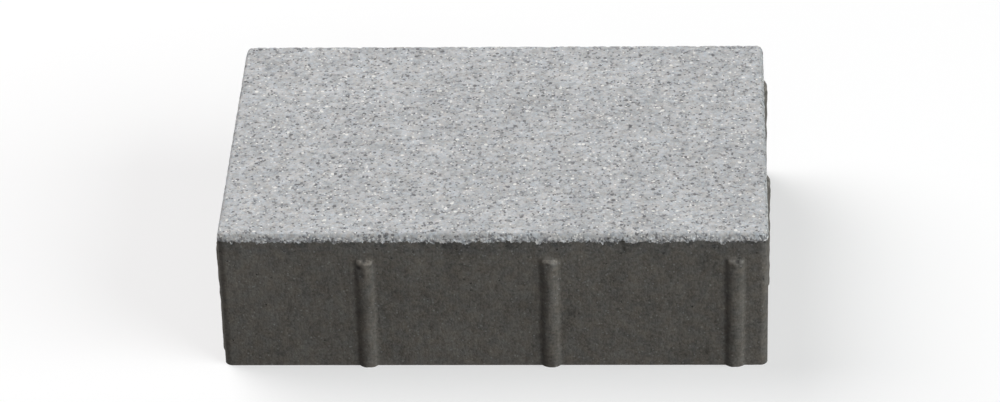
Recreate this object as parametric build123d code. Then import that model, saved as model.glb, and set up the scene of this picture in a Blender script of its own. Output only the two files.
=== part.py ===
from build123d import *
import os

# A pressed concrete paving stone, in millimetres, +Z up. The origin is at the centre of the
# bedding face, on which the stone lies. +X runs along its length, and +Y along its width.

# The laying grid, the joint that a stone leaves free in it, and the stone's thickness
grid_length = 210
grid_width = 140
joint_width = 2
thickness = 60

# Roundings of the four upright corners, and of the edge round the walking face
corner_radius = 2
top_edge_radius = 1.8

# Spacer ribs on the four sides, which keep the joint open and stop short of the walking face.
# A slope of the height rib_end cuts off their upper ends.
rib_width = 7
rib_height = 1.75
rib_pitch = 70
rib_to_corner = 12.5
rib_to_top = 10.7
rib_end = 1.8

# Sizes that follow from those above. A rib's root is the stretch of it that lies in the stone.
body_length = grid_length - joint_width
body_width = grid_width - joint_width
rib_half = rib_width / 2
rib_root = rib_half
rib_top = thickness - rib_to_top


def body():
    """The plain block: sharp round the bedding face, rounded at its corners and along its top edge."""
    block = extrude(RectangleRounded(body_length, body_width, corner_radius), amount=thickness)
    walking_face = block.faces().sort_by(Axis.Z)[-1]
    return fillet(walking_face.edges(), radius=top_edge_radius)


def rib():
    """One spacer rib with its foot at the origin and its crest towards -Y.

    Its section is a low arc, and runs straight up from the bedding face. A plane that starts at the
    side's surface and falls towards the crest slopes off its upper end.
    """
    outline = ThreePointArc((-rib_half, 0), (0, -rib_height), (rib_half, 0))
    outline += Polyline((rib_half, 0), (rib_half, rib_root), (-rib_half, rib_root), (-rib_half, 0))
    column = extrude(make_face(outline), amount=rib_top, dir=(0, 0, 1))
    slope = Plane(origin=(0, 0, rib_top), x_dir=(1, 0, 0), z_dir=(0, -rib_end, rib_height))
    return split(column, bisect_by=slope, keep=Keep.BOTTOM)


def rib_places():
    """Where the ribs stand on the four sides, in a row that starts by the right-hand corner.

    The right hand is that of someone who faces the side from outside. As the rows start at the same
    end on every side, ribs of neighbouring stones never meet, and half a turn leaves the stone alike.
    """
    places = []
    sides = ((body_length, body_width), (body_width, body_length)) * 2
    for quarter, (along, across) in enumerate(sides):
        count = int((along - 2 * rib_to_corner) // rib_pitch) + 1
        for i in range(count):
            x = along / 2 - rib_to_corner - i * rib_pitch
            places.append(Rot(0, 0, 90 * quarter) * Pos(x, -across / 2, 0))
    return places


def paving_stone():
    """The whole stone, which is pressed in one piece."""
    stone = body()
    for place in rib_places():
        stone += place * rib()
    return stone


os.makedirs("parts", exist_ok=True)
export_step(paving_stone(), "parts/paving_stone.step")
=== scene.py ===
from math import atan2, copysign, pi, radians, sqrt, tan

import bmesh
import bpy
from bpy.props import FloatProperty, FloatVectorProperty, PointerProperty
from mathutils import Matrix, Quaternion, Vector, noise


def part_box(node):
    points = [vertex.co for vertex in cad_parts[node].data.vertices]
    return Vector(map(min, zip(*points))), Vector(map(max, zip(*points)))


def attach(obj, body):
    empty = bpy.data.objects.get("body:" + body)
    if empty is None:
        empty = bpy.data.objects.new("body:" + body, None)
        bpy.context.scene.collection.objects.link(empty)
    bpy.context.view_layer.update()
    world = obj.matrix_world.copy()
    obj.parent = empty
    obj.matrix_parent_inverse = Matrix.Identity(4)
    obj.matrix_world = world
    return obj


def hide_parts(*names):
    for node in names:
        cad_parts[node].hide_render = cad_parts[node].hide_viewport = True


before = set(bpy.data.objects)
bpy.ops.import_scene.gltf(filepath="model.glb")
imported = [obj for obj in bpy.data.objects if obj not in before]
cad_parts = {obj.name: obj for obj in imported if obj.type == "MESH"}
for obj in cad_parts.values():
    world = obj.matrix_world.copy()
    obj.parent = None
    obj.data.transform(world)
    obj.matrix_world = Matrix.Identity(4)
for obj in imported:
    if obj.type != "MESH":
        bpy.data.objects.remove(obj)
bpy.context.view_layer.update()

bl_info = {
    "name": "Concrete Paving Stone",
    "version": (1, 0, 0),
    "blender": (4, 5, 0),
    "location": "View3D > Sidebar > Paving",
    "description": "A pressed paving stone with a washed walking face and spacer ribs, and its stage",
    "category": "Add Mesh",
}

# All sizes are in metres. The CAD model's box includes its ribs.
MM = 0.001
NODE = "paving_stone"
CAD_LOW, CAD_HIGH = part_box(NODE)
RIB_HEIGHT = 1.75 * MM


class StoneSizes(bpy.types.PropertyGroup):
    """The stone's sizes. Its corners, top edge and rib ends are shaped more finely than in the solid."""

    length: FloatProperty(
        name="Length", description="Length of the block without its ribs",
        default=CAD_HIGH.x - CAD_LOW.x - 2 * RIB_HEIGHT, min=0.1, unit="LENGTH")
    width: FloatProperty(
        name="Width", description="Width of the block without its ribs",
        default=CAD_HIGH.y - CAD_LOW.y - 2 * RIB_HEIGHT, min=0.1, unit="LENGTH")
    thickness: FloatProperty(
        name="Thickness", description="Height from the bedding face to the walking face",
        default=CAD_HIGH.z - CAD_LOW.z, min=0.04, unit="LENGTH")
    corner_radius: FloatProperty(
        name="Corner Radius", description="Rounding of the four upright corners",
        default=3 * MM, min=0.5 * MM, unit="LENGTH")
    edge_radius: FloatProperty(
        name="Edge Radius", description="Width of the rounding round the walking face where it is least worn",
        default=1.3 * MM, min=0.5 * MM, unit="LENGTH")
    edge_slant: FloatProperty(
        name="Edge Slant", description="How many times as high as wide that rounding is",
        default=2.15, min=1.0)
    edge_fullness: FloatProperty(
        name="Edge Fullness", description="Shape of that rounding: 1 for a flat bevel, 2 for an ellipse",
        default=1.5, min=1.1, max=3.0)
    rib_height: FloatProperty(
        name="Rib Height", description="How far a spacer rib stands out of its side",
        default=RIB_HEIGHT, min=0.0, unit="LENGTH")
    rib_width: FloatProperty(
        name="Rib Width", description="Width of a rib where it meets its side",
        default=7 * MM, min=3 * MM, unit="LENGTH")
    rib_pitch: FloatProperty(
        name="Rib Pitch", description="Distance between the ribs of one side",
        default=70 * MM, min=20 * MM, unit="LENGTH")
    rib_to_corner: FloatProperty(
        name="Rib to Corner", description="From the first rib's centre to the right-hand corner of its side",
        default=12.5 * MM, min=7 * MM, unit="LENGTH")
    rib_to_top: FloatProperty(
        name="Rib to Top", description="From a rib's upper end to the walking face",
        default=10.3 * MM, min=3 * MM, unit="LENGTH")
    rib_end: FloatProperty(
        name="Rib End", description="Height of the slope at a rib's upper end",
        default=1.8 * MM, min=0.5 * MM, unit="LENGTH")
    rib_end_round: FloatProperty(
        name="Rib End Round",
        description="How much lower that slope ends at the rib's feet than at its middle",
        default=1.3 * MM, min=0.0, unit="LENGTH")


class StoneRelief(bpy.types.PropertyGroup):
    """How fine the mesh is, and how rough the concrete."""

    step: FloatProperty(
        name="Mesh Step", description="Distance between mesh lines on the walking face",
        default=1.04 * MM, min=0.5 * MM, unit="LENGTH")
    edge_step: FloatProperty(
        name="Edge Step", description="Distance between mesh lines beside an edge",
        default=0.31 * MM, min=0.2 * MM, unit="LENGTH")
    rib_step: FloatProperty(
        name="Rib Step", description="Distance between mesh lines across a rib",
        default=0.59 * MM, min=0.2 * MM, unit="LENGTH")
    edge_band: FloatProperty(
        name="Edge Band", description="Width of the finely meshed band beside an edge",
        default=3.2 * MM, min=2 * MM, unit="LENGTH")
    row_step: FloatProperty(
        name="Row Step", description="Height of the sides' rows of faces down to a rib's upper end",
        default=0.43 * MM, min=0.2 * MM, unit="LENGTH")
    low_row_step: FloatProperty(
        name="Low Row Step", description="Height of the rows that they grow to further down",
        default=2.2 * MM, min=0.7 * MM, unit="LENGTH")
    bed_step: FloatProperty(
        name="Bed Step", description="Distance between mesh lines on the bedding face",
        default=2.8 * MM, min=1.4 * MM, unit="LENGTH")
    grain_size: FloatProperty(
        name="Grain Size", description="Distance between the grains that the washing laid bare",
        default=1.8 * MM, min=0.7 * MM, unit="LENGTH")
    grain_depth: FloatProperty(
        name="Grain Depth", description="Depth of the gaps between those grains",
        default=0.175 * MM, min=0.0, unit="LENGTH")
    edge_wear: FloatProperty(
        name="Edge Wear", description="How much the rounding of the top edge grows where it is most worn",
        default=0.8 * MM, min=0.0, unit="LENGTH")
    side_depth: FloatProperty(
        name="Side Depth", description="Depth of the shallow dents in the pressed sides",
        default=0.084 * MM, min=0.0, unit="LENGTH")
    pit_depth: FloatProperty(
        name="Pit Depth", description="Depth of the pits in the sides, most of them close under the top edge",
        default=0.49 * MM, min=0.0, unit="LENGTH")
    rib_roughness: FloatProperty(
        name="Rib Roughness", description="How much a rib's crest rises and falls along its length",
        default=0.55 * MM, min=0.0, unit="LENGTH")
    bed_depth: FloatProperty(
        name="Bed Depth", description="Depth of the open texture of the bedding face",
        default=0.35 * MM, min=0.0, unit="LENGTH")


class StoneFinish(bpy.types.PropertyGroup):
    """The colours of the concrete, as linear red, green and blue."""

    face_colour: FloatVectorProperty(
        name="Walking Face", description="Sand and cement of the washed walking face",
        default=(0.462, 0.47, 0.477), subtype="COLOR", size=3, min=0, max=1)
    pale_grain: FloatVectorProperty(
        name="Pale Grain", description="Quartz grains in the walking face",
        default=(0.80, 0.79, 0.76), subtype="COLOR", size=3, min=0, max=1)
    # This colour serves the dark grains, which have it under any lamp, and the open pores, where it is
    # painted shade.
    dark_grain_and_pore_shade: FloatVectorProperty(
        name="Dark Grain", description="Dark grains and open pores in the walking face",
        default=(0.13, 0.13, 0.135), subtype="COLOR", size=3, min=0, max=1)
    # Painted shade: this dark colour goes on patches of the top edge's rounding, as the shade in its gaps and
    # pits.
    rim_gap_shade: FloatVectorProperty(
        name="Rim Stains", description="Stains of cement on the edge round the walking face",
        default=(0.2, 0.2, 0.21), subtype="COLOR", size=3, min=0, max=1)
    side_colour: FloatVectorProperty(
        name="Sides", description="Cement skin of the pressed sides and ribs",
        default=(0.1308, 0.1222, 0.11), subtype="COLOR", size=3, min=0, max=1)
    bed_colour: FloatVectorProperty(
        name="Bedding Face", description="Open, unwashed concrete of the bedding face",
        default=(0.15, 0.142, 0.127), subtype="COLOR", size=3, min=0, max=1)


class StudioSetup(bpy.types.PropertyGroup):
    """Camera and light. Distances are from the middle of the bedding face."""

    camera_side: FloatProperty(
        name="Camera Side", description="How far the camera stands to the right of the stone's middle",
        default=74 * MM, unit="LENGTH")
    camera_back: FloatProperty(
        name="Camera Back", description="How far the camera stands in front of the stone's middle",
        default=1405 * MM, min=0.3, unit="LENGTH")
    camera_up: FloatProperty(
        name="Camera Height", description="Height of the camera over the floor",
        default=947 * MM, min=0.1, unit="LENGTH")
    camera_roll: FloatProperty(
        name="Camera Roll", description="Turn of the camera that keeps the stone's front edges level",
        default=radians(-1.79), unit="ROTATION")
    lens: FloatProperty(
        name="Lens", description="Focal length of the camera", default=154.0, min=20.0, unit="CAMERA")
    key_light: FloatProperty(
        name="Key Light", description="Strength at the stone of the softbox on the right",
        default=2.56, min=0.0)
    back_light: FloatProperty(
        name="Back Light", description="Strength at the stone of the softbox above, behind and on the left",
        default=2.56, min=0.0)
    front_light: FloatProperty(
        name="Front Light", description="Strength at the stone of the weak softbox in front",
        default=0.33, min=0.0)
    lamp_distance: FloatProperty(
        name="Lamp Distance", description="How far off the softboxes stand",
        default=2.2, min=0.5, unit="LENGTH")
    lamp_breadth: FloatProperty(
        name="Lamp Breadth", description="How broad a softbox looks from the stone",
        default=radians(52), min=radians(1), max=radians(150), unit="ROTATION")
    room_light: FloatProperty(
        name="Room Light", description="Strength of the even light from all round", default=0.06, min=0.0)
    floor_colour: FloatProperty(
        name="Floor", description="How pale the camera sees the floor's own colour",
        default=0.5, min=0.0, max=1.0, subtype="FACTOR")
    floor_glow: FloatProperty(
        name="Floor Glow", description="What is added to it, which keeps the floor pale inside a shadow",
        default=0.47, min=0.0, max=1.0, subtype="FACTOR")
    floor_bounce: FloatProperty(
        name="Floor Bounce", description="How much light the floor throws back at the stone",
        default=0.06, min=0.0, max=1.0, subtype="FACTOR")


def smooth(low, high, value):
    """0 at low, 1 at high, and a smooth rise between them. Low may be the larger."""
    share = max(0.0, min(1.0, (value - low) / (high - low)))
    return share * share * (3 - 2 * share)


def swell(place, size, shift=0.0):
    """Soft noise between 0 and 1 whose hills are about that size."""
    return 0.5 + 0.5 * noise.noise(place / size + Vector((shift, shift, shift)))


def spots(place, size, shift=0.0):
    """The nearest of many spots about that far apart: its distance, and a number of its own from 0 to 1."""
    distances, points = noise.voronoi(place / size + Vector((shift, shift, shift)))
    return distances[0], 0.5 + 0.5 * noise.cell(points[0] * 9.7)


def rib_centres(length, sizes):
    """Places of the ribs along a side of that length, to the right of its middle, seen from outside."""
    count = int((length - 2 * sizes.rib_to_corner) / sizes.rib_pitch) + 1
    return [length / 2 - sizes.rib_to_corner - i * sizes.rib_pitch for i in range(count)]


def mesh_lines(length, sizes, relief):
    """Places of the mesh lines across the stone: fine at its edges, and one at each foot of a rib.

    Ribs on the far side lie at the mirrored places, so both sets are met.
    """
    half, foot = length / 2, sizes.rib_width / 2
    centres = [c for centre in rib_centres(length, sizes) for c in (centre, -centre)]
    stops = [-half, -half + relief.edge_band, half - relief.edge_band, half]
    stops += [place for c in centres for place in (c - foot, c + foot)]
    stops.sort()
    lines = [stops[0]]
    for low, high in zip(stops, stops[1:]):
        middle = (low + high) / 2
        step = relief.step
        if any(abs(middle - c) < foot for c in centres):
            step = relief.rib_step
        if abs(middle) > half - relief.edge_band:
            step = relief.edge_step
        count = max(1, round((high - low) / step))
        lines += [low + (high - low) * (i + 1) / count for i in range(count)]
    return lines


def row_depths(sizes, relief):
    """Depths of the sides' mesh rows below the walking face, which grow apart below the ribs' ends."""
    below_end, growth = 2.8 * MM, 1.2
    fine = sizes.rib_to_top + sizes.rib_end + below_end
    depths, step = [], relief.row_step
    while not depths or depths[-1] < sizes.thickness:
        depths.append((depths[-1] if depths else 0.0) + step)
        if depths[-1] > fine:
            step = min(relief.low_row_step, step * growth)
    stretch = (sizes.thickness - fine) / (depths[-1] - fine)
    return [depth if depth < fine else fine + (depth - fine) * stretch for depth in depths]


class StoneForm:
    """Lays a point of a plain sharp box on the surface of the rounded, ribbed and worn stone."""

    def __init__(self, sizes, relief):
        self.sizes, self.relief = sizes, relief
        self.half = Vector((sizes.length / 2, sizes.width / 2))
        foot = sizes.rib_width / 2
        self.arc = (foot**2 + sizes.rib_height**2) / (2 * sizes.rib_height)
        self.rib_top = sizes.thickness - sizes.rib_to_top
        along = (sizes.length, sizes.width)
        self.ribs = [rib_centres(along[turn % 2], sizes) for turn in range(4)]

    def outline(self, x, y):
        """The nearest point of the rounded plan, the way out there, and how deep inside (x, y) lies."""
        radius = self.sizes.corner_radius
        room = Vector((self.half.x - abs(x), self.half.y - abs(y)))
        inward = min(room)
        if max(room) < radius:
            lean = Vector((copysign(radius - room.x, x), copysign(radius - room.y, y)))
            core = Vector((copysign(self.half.x - radius, x), copysign(self.half.y - radius, y)))
            out = lean.normalized()
            return core + out * radius, out, inward
        if room.x < room.y:
            return Vector((copysign(self.half.x, x), y)), Vector((copysign(1, x), 0)), inward
        return Vector((x, copysign(self.half.y, y))), Vector((0, copysign(1, y))), inward

    def rib_rise(self, rim, out, z):
        """How far a rib stands out of its side at a point of the outline, and how near its upper end is.

        Both are 0 beside the ribs. A rib's section is a low arc, and a slope with rounded corners cuts
        off its upper end.
        """
        sizes = self.sizes
        if max(abs(out.x), abs(out.y)) < 1 or z > self.rib_top:
            return 0.0, 0.0
        if out.x == 0:
            turn, u = (0, rim.x) if out.y < 0 else (2, -rim.x)
        else:
            turn, u = (1, rim.y) if out.x > 0 else (3, -rim.y)
        foot = sizes.rib_width / 2
        across = min((abs(u - centre) for centre in self.ribs[turn]), default=foot)
        if across >= foot:
            return 0.0, 0.0
        blend, rough_end, full_end = 0.18 * MM, 5 * MM, 3
        arc = sqrt(self.arc**2 - across**2) - (self.arc - sizes.rib_height)
        drop = sizes.rib_end_round * (1 - sqrt(1 - (across / foot) ** 2))
        slope = (self.rib_top - drop - z) * sizes.rib_height / sizes.rib_end
        height = min(arc, slope) - max(0.0, blend - abs(arc - slope)) ** 2 / (4 * blend)
        share = min(1.0, max(0.0, height) / sizes.rib_height)
        height = max(0.0, height - share * self.relief.rib_roughness * self.rib_wear(rim, z))
        slope_foot = self.rib_top - sizes.rib_end
        return height, min(1.0, full_end * share) * smooth(slope_foot - rough_end, slope_foot, z)

    def rib_wear(self, rim, z):
        """Share of the ribs' roughness that is worn away at a place: soft dents and ripples."""
        place = Vector((rim.x, rim.y, z))
        dents, ripples = swell(place, 4.9 * MM), swell(place, 1.82 * MM, 4.0)
        return max(0.0, 1.1 * dents + 0.9 * ripples - 0.7)

    def edge_radius(self, rim):
        """Width of the top edge's rounding at a point of the outline: larger where grains broke out."""
        place = Vector((rim.x, rim.y, 0))
        coarse = max(0.0, 2 * swell(place, 4.2 * MM) - 1)
        fine = max(0.0, 2 * swell(place, 1.33 * MM, 3.0) - 1)
        return self.sizes.edge_radius + self.relief.edge_wear * min(1.0, coarse + 1.2 * fine)

    def face_depth(self, place):
        """Depth of the washed relief of the walking face below its highest grains."""
        grains, hills = spots(place, self.relief.grain_size)[0], swell(place, 9.8 * MM)
        return self.relief.grain_depth * (0.9 * grains + 0.35 * hills)

    def side_depth(self, place):
        """Depth of the pressed sides' dents below a flat side: drawn out upwards, as the mould left them."""
        drawn = Vector((place.x, place.y, place.z * 0.4))
        dents, grit = swell(drawn, 7.7 * MM), swell(place, 1.82 * MM)
        return self.relief.side_depth * (0.6 * dents + 0.4 * grit)

    def pit(self, place, beyond, rib_end):
        """How far a place lies in a pit, from 0 to 1. Beyond is the way past the top edge.

        Pits are rare on the sides, common in patches of the band under the top edge, small and rare on
        the walking face, and small and common on the ribs' upper ends. A spot is a pit if its own number
        is below the share of the spots that are pits.
        """
        away, own = spots(place, 3.8 * MM, 7.0)
        if beyond > 0:
            return smooth(0.3, 0.1, away) * (own < 0.1)
        band = smooth(-7.7 * MM, -3.5 * MM, beyond)
        patches = smooth(0.35, 0.6, swell(place, 11.2 * MM, 2.0))
        pit = smooth(0.42, 0.15, away) * (own < 0.025 + 0.3 * band * patches)
        if rib_end > 0:
            away, own = spots(place, 2.5 * MM, 12.0)
            pit = max(pit, smooth(0.5, 0.2, away) * (own < 0.6 * rib_end))
        return pit

    def bed_depth(self, place):
        """Depth of the bedding face's open texture."""
        hills, grains = swell(place, 6.3 * MM), spots(place, 3.5 * MM)[0]
        return self.relief.bed_depth * (0.4 * hills + 0.6 * grains)

    def lay(self, point):
        """The stone's surface for a point of the sharp box.

        With it come the way past the lower end of the top edge's rounding, which is less than 0 down the
        sides, how far the point lies in a pit, and how near it lies to a rib's upper end. On the rounding,
        up and over run from 0 at its two ends to 1.
        """
        rim, out, inward = self.outline(point.x, point.y)
        top = self.sizes.thickness
        out3 = out.to_3d()
        if point.z == 0 and inward > 0:
            place = (rim - out * inward).to_3d()
            flat_rim = 2.8 * MM
            depth = smooth(0, flat_rim, inward) * self.bed_depth(place)
            return place + Vector((0, 0, depth)), -top, 0.0, 0.0
        wide = self.edge_radius(rim)
        high = wide * self.sizes.edge_slant
        up, over = (point.z - top) / high + 1, 1 - inward / wide
        if up > 0 and over > 0:
            full = self.sizes.edge_fullness
            shrink = max(up, over) / (up**full + over**full) ** (1 / full)
            up, over = up * shrink, over * shrink
            normal = out3 * (over ** (full - 1) / wide) + Vector((0, 0, up ** (full - 1) / high))
            normal.normalize()
            place = (rim - out * wide * (1 - over)).to_3d() + Vector((0, 0, top - high * (1 - up)))
            beyond = high * atan2(up, over)
        elif up > 0:
            normal = Vector((0, 0, 1))
            place = (rim - out * inward).to_3d() + Vector((0, 0, top))
            beyond = inward - wide + high * pi / 2
        else:
            normal = out3
            place = rim.to_3d() + Vector((0, 0, point.z))
            beyond = up * high
        washed = max(0.0, normal.z)
        rise, rib_end = self.rib_rise(rim, out, point.z) if washed == 0 else (0.0, 0.0)
        pit = self.pit(place, beyond, rib_end)
        depth = washed * self.face_depth(place) + (1 - washed) * self.side_depth(place)
        depth += self.relief.pit_depth * pit * (1 - 0.5 * washed)
        return place + out3 * rise - normal * depth, beyond, pit, rib_end


def sharp_box(bm, sizes, relief):
    """A closed box in quads: fine on the walking face and the sides, and coarser on the bedding face."""
    xs = mesh_lines(sizes.length, sizes, relief)
    ys = mesh_lines(sizes.width, sizes, relief)
    bmesh.ops.create_grid(bm, x_segments=len(xs) - 1, y_segments=len(ys) - 1, size=0.5)
    for vert in bm.verts:
        column = round((vert.co.x + 0.5) * (len(xs) - 1))
        row = round((vert.co.y + 0.5) * (len(ys) - 1))
        vert.co = (xs[column], ys[row], sizes.thickness)
    rim = [edge for edge in bm.edges if edge.is_boundary]
    for depth in row_depths(sizes, relief):
        made = bmesh.ops.extrude_edge_only(bm, edges=rim)["geom"]
        for vert in (v for v in made if isinstance(v, bmesh.types.BMVert)):
            vert.co.z = max(0.0, sizes.thickness - depth)
        rim = [e for e in made if isinstance(e, bmesh.types.BMEdge) and e.is_boundary]
    for edge in rim:
        edge.smooth = False
        for vert in edge.verts:
            vert.co.z = 0.0
    step = relief.bed_step
    length, width = sizes.length - 2 * step, sizes.width - 2 * step
    before = set(bm.verts)
    bmesh.ops.create_grid(
        bm, x_segments=round(length / step), y_segments=round(width / step), size=0.5)
    bed = [vert for vert in bm.verts if vert not in before]
    bmesh.ops.scale(bm, vec=(length, width, 1), verts=bed)
    inner = [e for e in bm.edges if e.is_boundary and e.verts[0] not in before]
    bmesh.ops.bridge_loops(bm, edges=rim + inner)
    bmesh.ops.recalc_face_normals(bm, faces=bm.faces)


def unfold(bm, sizes):
    """Lays the box's faces out on one square map, most generous to the walking face."""
    layer = bm.loops.layers.uv.new("OFBake")
    sheet, gap = 1024, 8
    face_scale, side_scale, bed_scale = 3.7 / MM, 2.85 / MM, 1.55 / MM
    half_length, half_width = sizes.length / 2, sizes.width / 2
    first_row = 2 * gap + sizes.width * face_scale
    second_row = first_row + gap + sizes.thickness * side_scale
    second_column = 2 * gap + sizes.length * side_scale
    bed_column = 2 * gap + sizes.length * face_scale
    for face in bm.faces:
        way = max(range(3), key=lambda axis: abs(face.normal[axis]))
        outward = face.normal[way] > 0
        for loop in face.loops:
            x, y, z = loop.vert.co
            if way == 2 and outward:
                spot = (gap + (x + half_length) * face_scale, gap + (y + half_width) * face_scale)
            elif way == 2:
                spot = (bed_column + (y + half_width) * bed_scale, gap + (x + half_length) * bed_scale)
            elif way == 1:
                along = half_length + (x if not outward else -x)
                spot = (gap + along * side_scale, (second_row if outward else first_row) + z * side_scale)
            else:
                along = half_width + (y if outward else -y)
                row = first_row if outward else second_row
                spot = (second_column + along * side_scale, row + z * side_scale)
            loop[layer].uv = (spot[0] / sheet, spot[1] / sheet)


class Finish:
    """One material's nodes, added and linked as they are called for. Sizes are in metres."""

    def __init__(self, name):
        self.material = bpy.data.materials.new(name)
        self.material.use_nodes = True
        self.tree = self.material.node_tree
        self.shader = self.tree.nodes["Principled BSDF"]
        self.place = self.node("TexCoord").outputs["Object"]

    def node(self, kind, inputs=None, **settings):
        """A shader node with its settings made and its inputs set or linked."""
        made = self.tree.nodes.new("ShaderNode" + kind)
        for name, value in settings.items():
            setattr(made, name, value)
        for name, value in (inputs or {}).items():
            self.feed(made.inputs[name], value)
        return made

    def feed(self, socket, value):
        """Links a socket to another, or sets its value."""
        if isinstance(value, bpy.types.NodeSocket):
            self.tree.links.new(value, socket)
        else:
            socket.default_value = value

    def math(self, operation, a, b=0.0):
        """A sum, product or the like of two values."""
        return self.node("Math", {0: a, 1: b}, operation=operation).outputs[0]

    def total(self, *values):
        """The sum of several values."""
        so_far = values[0]
        for value in values[1:]:
            so_far = self.math("ADD", so_far, value)
        return so_far

    def product(self, *values):
        """The product of several values."""
        so_far = values[0]
        for value in values[1:]:
            so_far = self.math("MULTIPLY", so_far, value)
        return so_far

    def spread(self, value, low, high, to_low=0.0, to_high=1.0):
        """The value, carried evenly from one range to another and held inside it."""
        return self.node("MapRange", {"Value": value, 1: low, 2: high, 3: to_low, 4: to_high}).outputs[0]

    def rise(self, value, low, high, to_low=0.0, to_high=1.0):
        """As spread, but with a smooth start and end."""
        inputs = {"Value": value, 1: low, 2: high, 3: to_low, 4: to_high}
        return self.node("MapRange", inputs, interpolation_type="SMOOTHSTEP").outputs[0]

    def sway(self, value, swing, reach=0.2):
        """A noise's usual values, which lie that far round a half, carried to the range of the swing."""
        return self.spread(value, 0.5 - reach, 0.5 + reach, -swing, swing)

    def own(self, name):
        """A number that the mesh holds at each of its points."""
        return self.node("Attribute", attribute_name=name).outputs["Fac"]

    def noise(self, size, detail=2.0, stretch=1.0, offset=0.0):
        """Cloudy noise whose patches are about that size, and longer upwards by the stretch."""
        mapping = {"Vector": self.place, "Location": (offset, offset, 0), "Scale": (1, 1, 1 / stretch)}
        place = self.node("Mapping", mapping).outputs[0]
        return self.node("TexNoise", {"Vector": place, "Scale": 1 / size, "Detail": detail}).outputs[0]

    def cells(self, size, offset=0.0):
        """Grains of about that size: the distance from the grain's middle, and two numbers of its own."""
        mapping = {"Vector": self.place, "Location": (offset, offset, 0)}
        place = self.node("Mapping", mapping).outputs[0]
        made = self.node("TexVoronoi", {"Vector": place, "Scale": 1 / size})
        own = self.node("SeparateColor", {0: made.outputs["Color"]}).outputs
        return made.outputs["Distance"], own[0], own[1]

    def mix(self, share, a, b, blend="MIX"):
        """Colour a, and colour b as far as the share goes."""
        made = self.node("Mix", {0: share}, data_type="RGBA", blend_type=blend)
        self.feed(made.inputs[6], a)
        self.feed(made.inputs[7], b)
        return made.outputs[2]

    def tint(self, share, colour, filter_colour):
        """The colour, seen through a filter as far as the share goes."""
        return self.mix(share, colour, filter_colour, blend="MULTIPLY")

    def shade(self, colour, value):
        """The colour times a value."""
        return self.node("VectorMath", {0: colour, "Scale": value}, operation="SCALE").outputs[0]

    def surface(self, colour, roughness, height):
        """Feeds the shader. The height is in metres."""
        bump = self.node("Bump", {"Height": height, "Distance": 1.0, "Strength": 1.0})
        self.shader.inputs["Specular IOR Level"].default_value = 0.3
        self.feed(self.shader.inputs["Base Color"], colour)
        self.feed(self.shader.inputs["Roughness"], roughness)
        self.feed(self.shader.inputs["Normal"], bump.outputs[0])


def rgba(colour):
    """A colour as a socket holds it."""
    return (*colour, 1.0)


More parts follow.
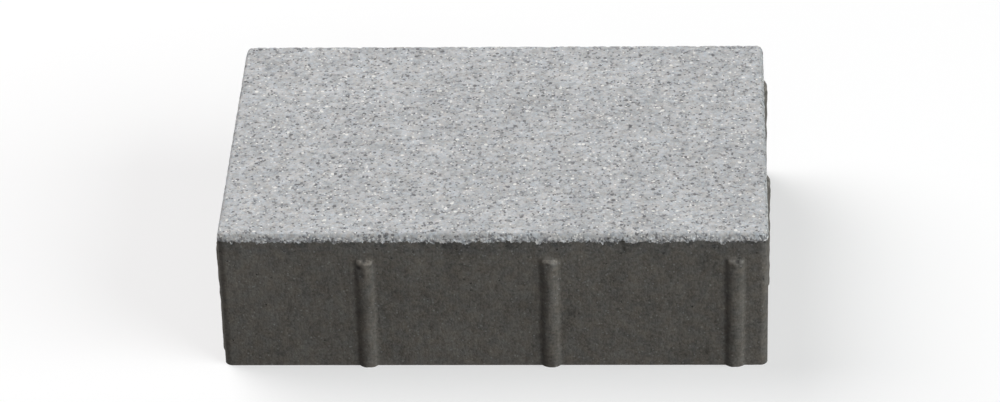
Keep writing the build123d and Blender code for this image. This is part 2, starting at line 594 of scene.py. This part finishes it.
def walking_face(finish, colours):
    """Washed sand and fine grit: mostly grey, with pale quartz, dark grains and open pores in clusters, the
    pores darkened as painted shade.

    A grain's numbers of its own say which ones are dark or pale, and the distance from its middle
    rounds it off. On the top edge's rounding, painted light and painted shade lie over the grains.
    """
    sand, sand_own, sand_other = finish.cells(0.91 * MM)
    grit, grit_own, grit_other = finish.cells(1.89 * MM, offset=0.31)
    dust = finish.noise(0.35 * MM, detail=3.0)
    rim = finish.rise(finish.own("beyond"), 2.6 * MM, 1.6 * MM)
    low_rim = finish.rise(finish.own("beyond"), 2.2 * MM, 0.6 * MM)
    # Painted light and shade: patches at the lower end of the top edge's rounding, lighter on the whole and
    # darker in places.
    rim_light_and_shade = finish.spread(finish.noise(1.6 * MM, offset=2.6), 0.3, 0.7, -0.77, 1.04)
    tone = finish.total(
        finish.spread(sand_own, 0, 1, 0.9, 1.12),
        finish.spread(grit_own, 0, 1, -0.12, 0.12),
        finish.sway(finish.noise(4.5 * MM, offset=0.8), 0.065),
        finish.sway(finish.noise(11 * MM, detail=3.0), 0.075),
        finish.sway(finish.noise(42 * MM), 0.05),
        finish.sway(dust, 0.08, reach=0.25),
        finish.product(low_rim, rim_light_and_shade),
    )
    colour = finish.shade(colours.face_colour, tone)
    hue = finish.total(
        finish.spread(finish.noise(1.2 * MM, detail=1.0, offset=3.1), 0.3, 0.7, 0.0, 0.7),
        finish.spread(finish.noise(6 * MM, detail=1.0, offset=3.9), 0.3, 0.7, 0.0, 0.3),
    )
    warm, cool = (1.063, 1.0, 0.943, 1.0), (0.943, 1.0, 1.063, 1.0)
    colour = finish.tint(1.0, colour, finish.mix(hue, warm, cool))
    clusters = finish.rise(finish.noise(2.5 * MM, offset=0.5), 0.5, 0.66)
    pores = finish.product(finish.rise(sand, 0.42, 0.62), clusters)
    dark_sand = finish.product(finish.rise(sand_other, 0.085, 0.07), finish.rise(sand, 0.6, 0.46))
    dark_grit = finish.product(finish.rise(grit_other, 0.04, 0.03), finish.rise(grit, 0.46, 0.38))
    dark = finish.math("MAXIMUM", dark_sand, dark_grit)
    # Near the top edge more sand grains turn pale: real pale quartz, made commoner there as painted glints
    # that lighten the rounding.
    rank = finish.total(sand_other, finish.product(rim, 0.1), finish.product(low_rim, 0.1))
    pale_sand = finish.product(finish.rise(rank, 0.935, 0.95), finish.rise(sand, 0.52, 0.4))
    pale_grit = finish.product(finish.rise(grit_other, 0.975, 0.98), finish.rise(grit, 0.42, 0.34))
    pale = finish.math("MAXIMUM", pale_sand, pale_grit)
    # Painted shade: dark patches on the top edge's rounding stand for the shade in its gaps and pits.
    rim_gap_patches = finish.rise(finish.noise(2.2 * MM, detail=3.0, offset=1.7), 0.52, 0.62)
    colour = finish.mix(finish.product(rim, rim_gap_patches, 0.7), colour, rgba(colours.rim_gap_shade))
    # Painted shade: the open pores between the grains are darkened towards the dark grains' colour.
    colour = finish.mix(finish.product(pores, 0.6), colour, rgba(colours.dark_grain_and_pore_shade))
    colour = finish.mix(finish.product(dark, 0.85), colour, rgba(colours.dark_grain_and_pore_shade))
    colour = finish.mix(finish.product(pale, 0.85), colour, rgba(colours.pale_grain))
    height = finish.total(
        finish.product(sand, -0.112 * MM),
        finish.product(grit, -0.098 * MM),
        finish.product(dust, 0.056 * MM),
        finish.product(pores, -0.175 * MM),
    )
    dull, shiny = 0.93, 0.6
    roughness = finish.spread(pale, 0, 1, dull, shiny)
    return colour, roughness, height


def pressed_side(finish, colours):
    """Cement skin as the mould left it: smooth, mottled, with pinholes painted as shadow, dark and cool under
    the edge, and a painted highlight on the ribs' upper ends.
    """
    beyond, rib_end = finish.own("beyond"), finish.own("rib_end")
    mottle = finish.noise(6.3 * MM, detail=4.0, stretch=1.6)
    fine = finish.noise(0.98 * MM, detail=3.0)
    drag = finish.noise(0.77 * MM, stretch=7.0, offset=0.7)
    holes, holes_own, holes_other = finish.cells(2.7 * MM, offset=0.13)
    grains, grains_own, grains_other = finish.cells(1.05 * MM, offset=0.53)
    frayed = finish.sway(finish.noise(0.42 * MM, offset=0.35), 0.09)
    tone = finish.total(
        finish.spread(mottle, 0.3, 0.7, 0.88, 1.12),
        finish.sway(finish.noise(21 * MM, offset=0.6), 0.095),
        finish.sway(fine, 0.22, reach=0.25),
        finish.sway(drag, 0.08),
        finish.spread(grains_own, 0.0, 1.0, -0.16, 0.16),
    )
    colour = finish.shade(colours.side_colour, tone)
    hue = finish.spread(finish.noise(4.2 * MM, detail=3.0, offset=1.3), 0.35, 0.65)
    warm, cool = (1.03, 1.0, 0.96, 1.0), (0.97, 1.0, 1.02, 1.0)
    colour = finish.tint(1.0, colour, finish.mix(hue, warm, cool))
    waves = finish.spread(finish.noise(4.2 * MM, offset=0.2), 0, 1, -2.1 * MM, 2.1 * MM)
    below = finish.math("ADD", beyond, waves)
    band = finish.rise(below, -6.3 * MM, -4.2 * MM)
    colour = finish.tint(band, colour, (0.94, 0.955, 0.98, 1.0))
    near = finish.rise(below, -4 * MM, -1.6 * MM)
    blotches = finish.rise(finish.noise(3.5 * MM, detail=3.0, offset=0.9), 0.53, 0.62)
    colour = finish.tint(finish.product(near, blotches), colour, (0.68, 0.7, 0.73, 1.0))
    share = finish.spread(band, 0, 1, 0.03, 0.24)
    narrowing = finish.spread(holes_other, 0, 1, 0.75, 1.7)
    hole_shape = finish.total(finish.product(holes, narrowing), frayed)
    hole = finish.product(
        finish.rise(finish.math("SUBTRACT", share, holes_own), 0, 0.01), finish.rise(hole_shape, 0.3, 0.13))
    shadow = (0.035, 0.033, 0.031, 1.0)
    colour = finish.mix(finish.product(hole, 0.55), colour, shadow)
    pit = finish.product(finish.own("pit"), finish.spread(rib_end, 0, 1, 0.45, 1.0))
    colour = finish.mix(pit, colour, shadow)
    speck_shape = finish.total(grains, frayed)
    speck = finish.product(finish.rise(grains_other, 0.95, 0.97), finish.rise(speck_shape, 0.4, 0.25))
    colour = finish.mix(finish.product(speck, 0.22), colour, rgba(colours.face_colour))
    # Painted highlight: the upper ends of the ribs, which slope upwards, are lightened up to 1.62 times.
    rib_end_highlight = finish.rise(rib_end, 0.85, 1.0, 1.0, 1.62)
    colour = finish.shade(colour, rib_end_highlight)
    height = finish.total(
        finish.product(hole, -0.35 * MM),
        finish.product(mottle, 0.175 * MM),
        finish.product(fine, 0.154 * MM),
        finish.product(grains, -0.07 * MM),
        finish.product(drag, 0.035 * MM),
    )
    roughness = finish.spread(fine, 0.3, 0.7, 0.76, 0.9)
    return colour, roughness, height


def concrete_finish(colours):
    """The walking face and the sides in one material, which change over raggedly under the top edge."""
    finish = Finish("washed_and_pressed_concrete")
    face_colour, face_roughness, face_height = walking_face(finish, colours)
    side_colour, side_roughness, side_height = pressed_side(finish, colours)
    ragged = finish.total(
        finish.own("beyond"),
        finish.sway(finish.noise(1.7 * MM, offset=0.4), 0.5 * MM),
        finish.sway(finish.noise(0.63 * MM, detail=1.0, offset=0.9), 0.28 * MM),
    )
    face = finish.rise(ragged, -0.6 * MM, -0.1 * MM)
    colour = finish.mix(face, side_colour, face_colour)
    roughness = finish.node("Mix", {0: face, 2: side_roughness, 3: face_roughness}).outputs[0]
    height = finish.node("Mix", {0: face, 2: side_height, 3: face_height}).outputs[0]
    finish.surface(colour, roughness, height)
    return finish.material


def bedding_finish(colours):
    """Open, unwashed concrete: matt and mottled, with small shadowed pores of uneven outline."""
    finish = Finish("bedding_concrete")
    sand, sand_own, _ = finish.cells(1.12 * MM, offset=0.2)
    coarse = finish.noise(3.4 * MM, detail=4.0, offset=0.6)
    fine = finish.noise(0.63 * MM, detail=3.0)
    tone = finish.total(
        finish.spread(finish.noise(14 * MM, detail=4.0), 0.3, 0.7, 0.9, 1.1),
        finish.sway(coarse, 0.12),
        finish.spread(sand_own, 0, 1, -0.1, 0.1),
        finish.sway(fine, 0.14, reach=0.25),
    )
    colour = finish.shade(colours.bed_colour, tone)
    share = finish.spread(finish.noise(9 * MM, offset=1.1), 0.3, 0.7, 0.33, 0.45)
    pore = finish.rise(finish.math("SUBTRACT", share, coarse), -0.005, 0.05)
    shadow = (0.04, 0.038, 0.035, 1.0)
    colour = finish.mix(finish.product(pore, 0.6), colour, shadow)
    height = finish.total(
        finish.product(coarse, 0.5 * MM),
        finish.product(sand, -0.175 * MM),
        finish.product(fine, 0.14 * MM),
        finish.product(pore, -0.4 * MM),
    )
    matt = 0.95
    finish.surface(colour, matt, height)
    return finish.material


class PAVING_OT_stone(bpy.types.Operator):
    """Build the paving stone with its washed face, ribs and worn edges"""

    bl_idname = "paving.stone"
    bl_label = "Paving Stone"

    def execute(self, context):
        settings = context.scene.paving
        sizes, relief, colours = settings.sizes, settings.relief, settings.finish
        bm = bmesh.new()
        sharp_box(bm, sizes, relief)
        unfold(bm, sizes)
        for face in bm.faces:
            face.smooth = True
            face.material_index = 1 if face.normal.z < -0.5 else 0
        beyond = bm.verts.layers.float.new("beyond")
        pit = bm.verts.layers.float.new("pit")
        rib_end = bm.verts.layers.float.new("rib_end")
        form = StoneForm(sizes, relief)
        for vert in bm.verts:
            vert.co, vert[beyond], vert[pit], vert[rib_end] = form.lay(vert.co.copy())
        mesh = bpy.data.meshes.new("concrete_stone")
        bm.to_mesh(mesh)
        bm.free()
        mesh.materials.append(concrete_finish(colours))
        mesh.materials.append(bedding_finish(colours))
        stone = bpy.data.objects.new("concrete_stone", mesh)
        context.scene.collection.objects.link(stone)
        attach(stone, "root")
        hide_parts(NODE)
        return {"FINISHED"}


class PAVING_OT_stage(bpy.types.Operator):
    """Set up the floor, the light and the camera"""

    bl_idname = "paving.stage"
    bl_label = "Stage"

    def execute(self, context):
        studio = context.scene.paving.studio
        self.add_floor(context, studio)
        self.add_room(context, studio)
        cool, mild, warm = (0.965, 1, 1), (1.015, 1, 1), (1.05, 1, 1)
        self.add_softbox(context, studio, "key_light", (0.82, -0.38, 0.43), studio.key_light, cool)
        self.add_softbox(context, studio, "back_light", (-0.55, 0.38, 0.74), studio.back_light, mild)
        self.add_softbox(context, studio, "front_light", (0.1, -0.9, 0.42), studio.front_light, warm)
        self.add_camera(context, studio)
        context.scene.view_settings.view_transform = "Standard"
        return {"FINISHED"}

    def add_floor(self, context, studio):
        """A large pale floor, which looks brighter to the camera than it lights the stone."""
        half_size = 8.0
        bm = bmesh.new()
        bmesh.ops.create_grid(bm, x_segments=1, y_segments=1, size=half_size)
        mesh = bpy.data.meshes.new("floor")
        bm.to_mesh(mesh)
        bm.free()
        finish = Finish("pale_floor")
        rays = finish.node("LightPath").outputs
        seen = finish.math("MAXIMUM", rays["Is Camera Ray"], rays["Is Glossy Ray"])
        seen = finish.math("MAXIMUM", seen, rays["Is Transmission Ray"])
        colour = finish.mix(seen, rgba([studio.floor_bounce] * 3), rgba([studio.floor_colour] * 3))
        finish.feed(finish.shader.inputs["Base Color"], colour)
        finish.feed(finish.shader.inputs["Emission Strength"], finish.product(seen, studio.floor_glow))
        finish.shader.inputs["Emission Color"].default_value = (1, 1, 1, 1)
        finish.shader.inputs["Roughness"].default_value = 1.0
        finish.shader.inputs["Specular IOR Level"].default_value = 0.0
        mesh.materials.append(finish.material)
        floor = bpy.data.objects.new("floor", mesh)
        context.scene.collection.objects.link(floor)

    def add_room(self, context, studio):
        """Weak even light from all round. The camera sees the room as white."""
        world = bpy.data.worlds.new("studio")
        context.scene.world = world
        world.use_nodes = True
        nodes, links = world.node_tree.nodes, world.node_tree.links
        rays = nodes.new("ShaderNodeLightPath").outputs
        strength = nodes.new("ShaderNodeMix")
        strength.inputs[2].default_value = studio.room_light
        strength.inputs[3].default_value = 1.0
        background = nodes["Background"]
        background.inputs["Color"].default_value = (1, 1, 1, 1)
        links.new(rays["Is Camera Ray"], strength.inputs[0])
        links.new(strength.outputs[0], background.inputs["Strength"])

    def add_softbox(self, context, studio, name, towards, strength, colour):
        """A broad round lamp that faces the stone. Its strength is the light that reaches the stone."""
        way, distance = Vector(towards).normalized(), studio.lamp_distance
        radius = distance * tan(studio.lamp_breadth / 2)
        lamp = bpy.data.lights.new(name, "AREA")
        lamp.shape = "DISK"
        lamp.size = 2 * radius
        lamp.energy = strength * pi * (distance**2 + radius**2)
        lamp.color = colour
        softbox = bpy.data.objects.new(name, lamp)
        softbox.location = way * distance
        softbox.rotation_euler = way.to_track_quat("Z", "Y").to_euler()
        softbox.visible_camera = False
        context.scene.collection.objects.link(softbox)

    def add_camera(self, context, studio):
        """The photograph's view of the stone, with a longer lens and no shift."""
        camera = bpy.data.cameras.new("camera")
        camera.lens = studio.lens
        eye = bpy.data.objects.new("camera", camera)
        eye.location = (studio.camera_side, -studio.camera_back, studio.camera_up)
        aim = Vector((0, 0, context.scene.paving.sizes.thickness / 2))
        look = (eye.location - aim).to_track_quat("Z", "Y")
        eye.rotation_euler = (look @ Quaternion((0, 0, 1), studio.camera_roll)).to_euler()
        context.scene.collection.objects.link(eye)
        context.scene.camera = eye


class PavingSettings(bpy.types.PropertyGroup):
    """All that the panel shows."""

    sizes: PointerProperty(type=StoneSizes)
    relief: PointerProperty(type=StoneRelief)
    finish: PointerProperty(type=StoneFinish)
    studio: PointerProperty(type=StudioSetup)


class PAVING_PT_panel(bpy.types.Panel):
    """The stone's sizes, relief and colours, and the buttons that build it"""

    bl_idname = "PAVING_PT_panel"
    bl_label = "Paving Stone"
    bl_space_type = "VIEW_3D"
    bl_region_type = "UI"
    bl_category = "Paving"

    def draw(self, context):
        settings = context.scene.paving
        groups = (
            (settings.sizes, PAVING_OT_stone), (settings.relief, None),
            (settings.finish, None), (settings.studio, PAVING_OT_stage))
        for group, operator in groups:
            box = self.layout.box()
            for name in group.__annotations__:
                box.prop(group, name)
            if operator is not None:
                box.operator(operator.bl_idname)


CLASSES = (
    StoneSizes, StoneRelief, StoneFinish, StudioSetup, PavingSettings,
    PAVING_OT_stone, PAVING_OT_stage, PAVING_PT_panel,
)


def register():
    for cls in CLASSES:
        bpy.utils.register_class(cls)
    bpy.types.Scene.paving = PointerProperty(type=PavingSettings)


def unregister():
    del bpy.types.Scene.paving
    for cls in reversed(CLASSES):
        bpy.utils.unregister_class(cls)


def main():
    """Builds the stone and its stage."""
    register()
    bpy.ops.paving.stone()
    bpy.ops.paving.stage()


if __name__ == "__main__":
    main()
